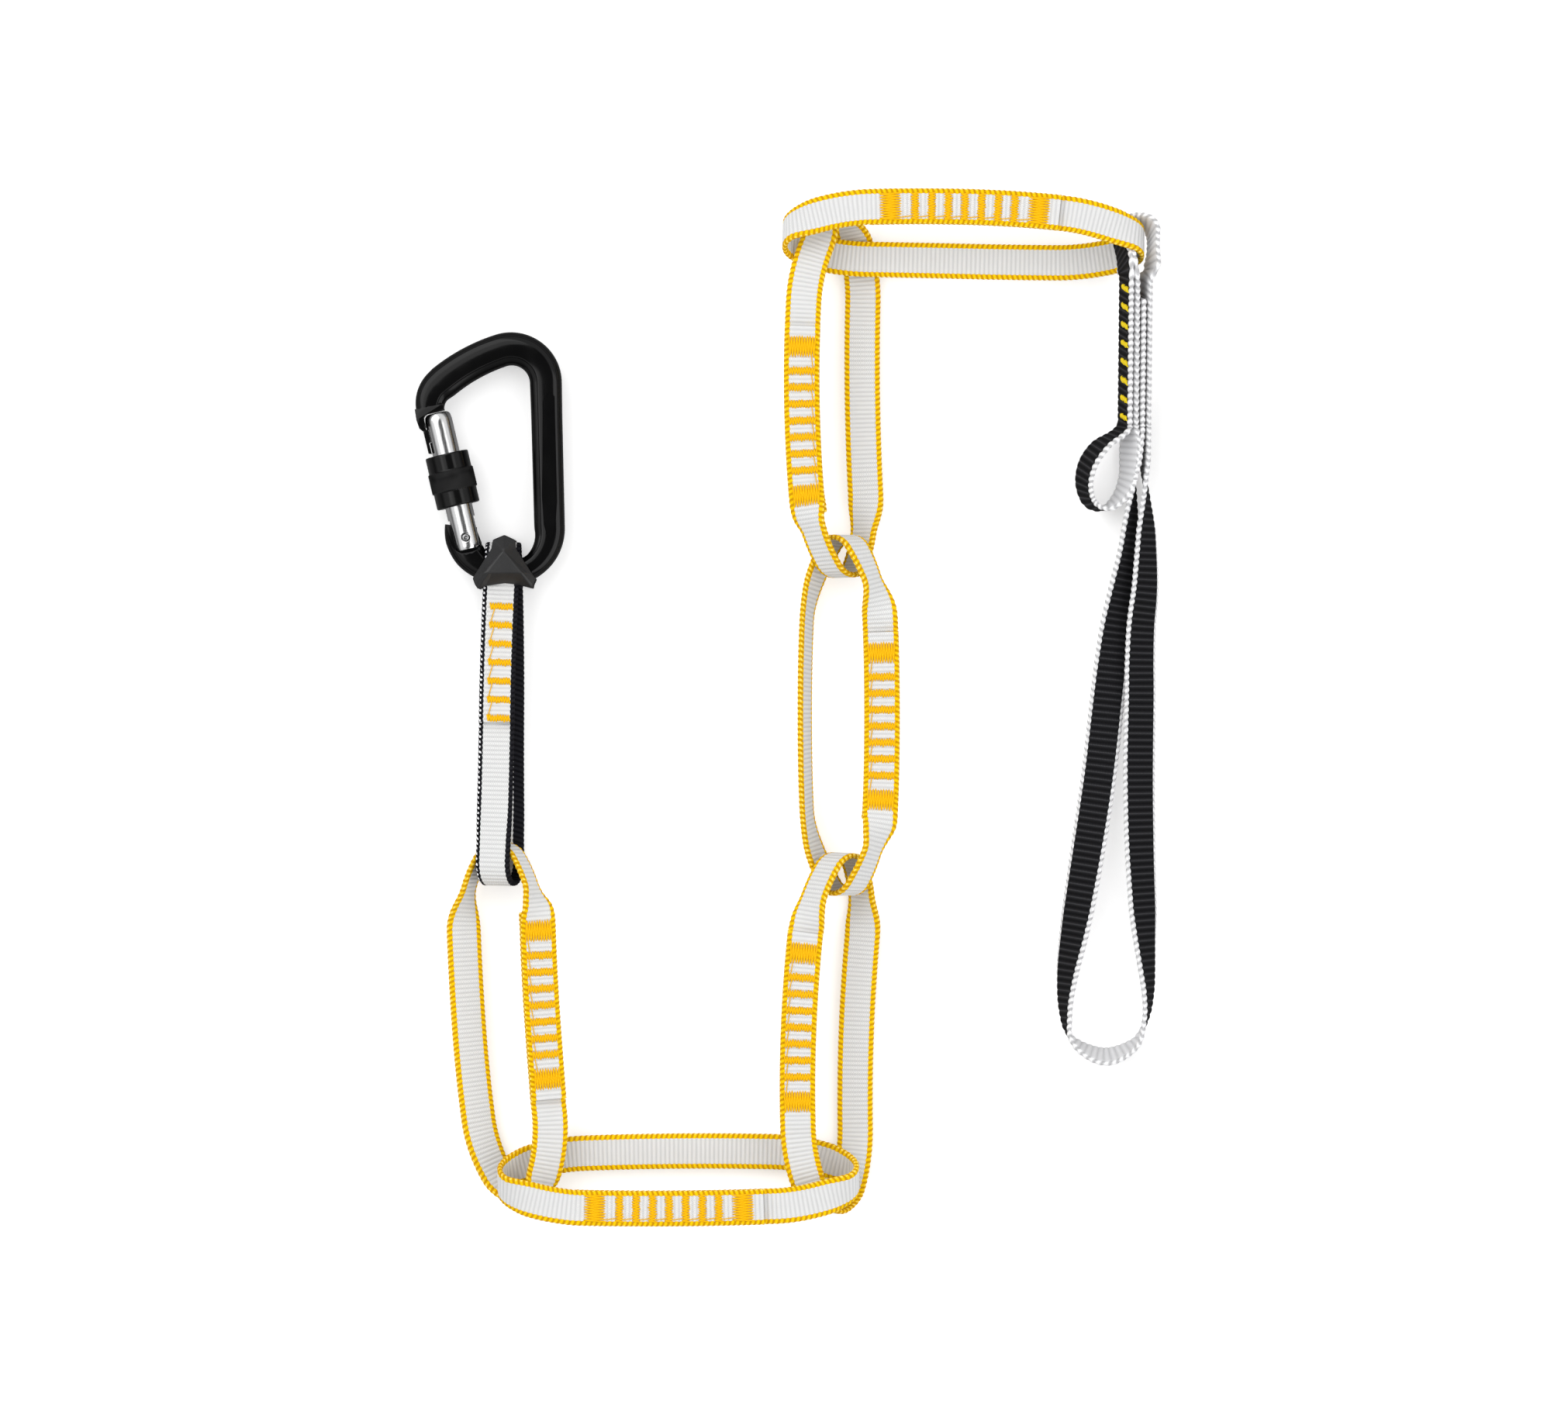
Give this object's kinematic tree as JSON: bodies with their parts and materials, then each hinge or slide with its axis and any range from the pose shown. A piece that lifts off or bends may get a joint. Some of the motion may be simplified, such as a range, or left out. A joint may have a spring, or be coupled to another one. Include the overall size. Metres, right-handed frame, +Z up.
{
  "type": "climbing daisy chain",
  "caption": "Sewn webbing rings linked in a chain, with a screw-gate carabiner on a short sling at one end and a long harness sling at the other, laid flat.",
  "frame": {"origin": "centre of the bounding box in X and Y, at its lowest Z, the surface the chain lies on", "axes": "+Z up from the surface, +Y along the upright run of rings toward the end with the harness sling, +X toward the harness sling's side"},
  "size_m": [0.2988, 0.4162, 0.0386],
  "materials": {
    "white_tape": "woven tape, golden yellow selvedge",
    "black_tape": "woven tape, ribbed, white inner face",
    "golden_thread": "dense zigzag bar stitching",
    "black_anodised": "glossy black anodised",
    "polished_alloy": "polished",
    "dark_anodised": "dark anodised, knurled band",
    "dark_rubber": "matte moulded"
  },
  "bodies": {
    "ring_1": {"ring_1_tape": "white_tape", "ring_1_stitching": "golden_thread"},
    "ring_2": {"ring_2_tape": "white_tape", "ring_2_stitching": "golden_thread"},
    "ring_3": {"ring_3_tape": "white_tape", "ring_3_stitching": "golden_thread"},
    "ring_4": {"ring_4_tape": "white_tape", "ring_4_stitching": "golden_thread"},
    "ring_5": {"ring_5_tape": "white_tape", "ring_5_stitching": "golden_thread"},
    "ring_6": {"ring_6_tape": "white_tape", "ring_6_stitching": "golden_thread"},
    "harness_sling": {"harness_sling_tape": "black_tape", "harness_sling_stitching": "golden_thread"},
    "carabiner_sling": {"carabiner_sling_tape": "white_tape", "carabiner_sling_stitching": "golden_thread", "keeper": "dark_rubber"},
    "carabiner": {"carabiner_body": "black_anodised", "rivet": "polished_alloy"},
    "gate": {"gate": "polished_alloy"},
    "sleeve": {"sleeve": "dark_anodised"}
  },
  "joints": [
    {"name": "ring_5_link", "type": "hinge", "parent": "ring_4", "child": "ring_5", "pos_m": [0.0231, 0.06104, 0.01505], "axis": [0, 0, 1], "range_deg": [-14, 14]},
    {"name": "ring_6_link", "type": "hinge", "parent": "ring_5", "child": "ring_6", "pos_m": [0.0101, 0.19063, 0.02245], "axis": [0, 0, -1], "range_deg": [-3, 10]},
    {"name": "harness_link", "type": "hinge", "parent": "ring_6", "child": "harness_sling", "pos_m": [0.14195, 0.18763, 0.02245], "axis": [0, 0, 1], "range_deg": [-4, 2]},
    {"name": "ring_3_link", "type": "hinge", "parent": "ring_4", "child": "ring_3", "pos_m": [0.0231, -0.06705, 0.0149], "axis": [0, 0, 1], "range_deg": [-14, 13]},
    {"name": "ring_2_link", "type": "hinge", "parent": "ring_3", "child": "ring_2", "pos_m": [0.01936, -0.18994, 0.01655], "axis": [0, 0, -1], "range_deg": [-14, 14]},
    {"name": "ring_1_link", "type": "hinge", "parent": "ring_2", "child": "ring_1", "pos_m": [-0.10593, -0.19094, 0.01985], "axis": [0, 0, 1], "range_deg": [-8, 18]},
    {"name": "carabiner_sling_link", "type": "hinge", "parent": "ring_1", "child": "carabiner_sling", "pos_m": [-0.11546, -0.06305, 0.01345], "axis": [0, 0, -1], "range_deg": [-20, 5]},
    {"name": "carabiner_link", "type": "hinge", "parent": "carabiner_sling", "child": "carabiner", "pos_m": [-0.11231, 0.07175, 0.01075], "axis": [0, 0, 1], "range_deg": [-10, 10]},
    {"name": "gate_hinge", "type": "hinge", "parent": "carabiner", "child": "gate", "pos_m": [-0.12901, 0.06859, 0.01075], "axis": [0, 0, 1], "range_deg": [-27, 0], "stiffness_Nm_per_rad": 0.06, "springref_deg": 11.46},
    {"name": "sleeve_slide", "type": "slide", "parent": "gate", "child": "sleeve", "axis": [-0.2284, 0.9736, 0], "range_m": [0, 0.01]}
  ]
}
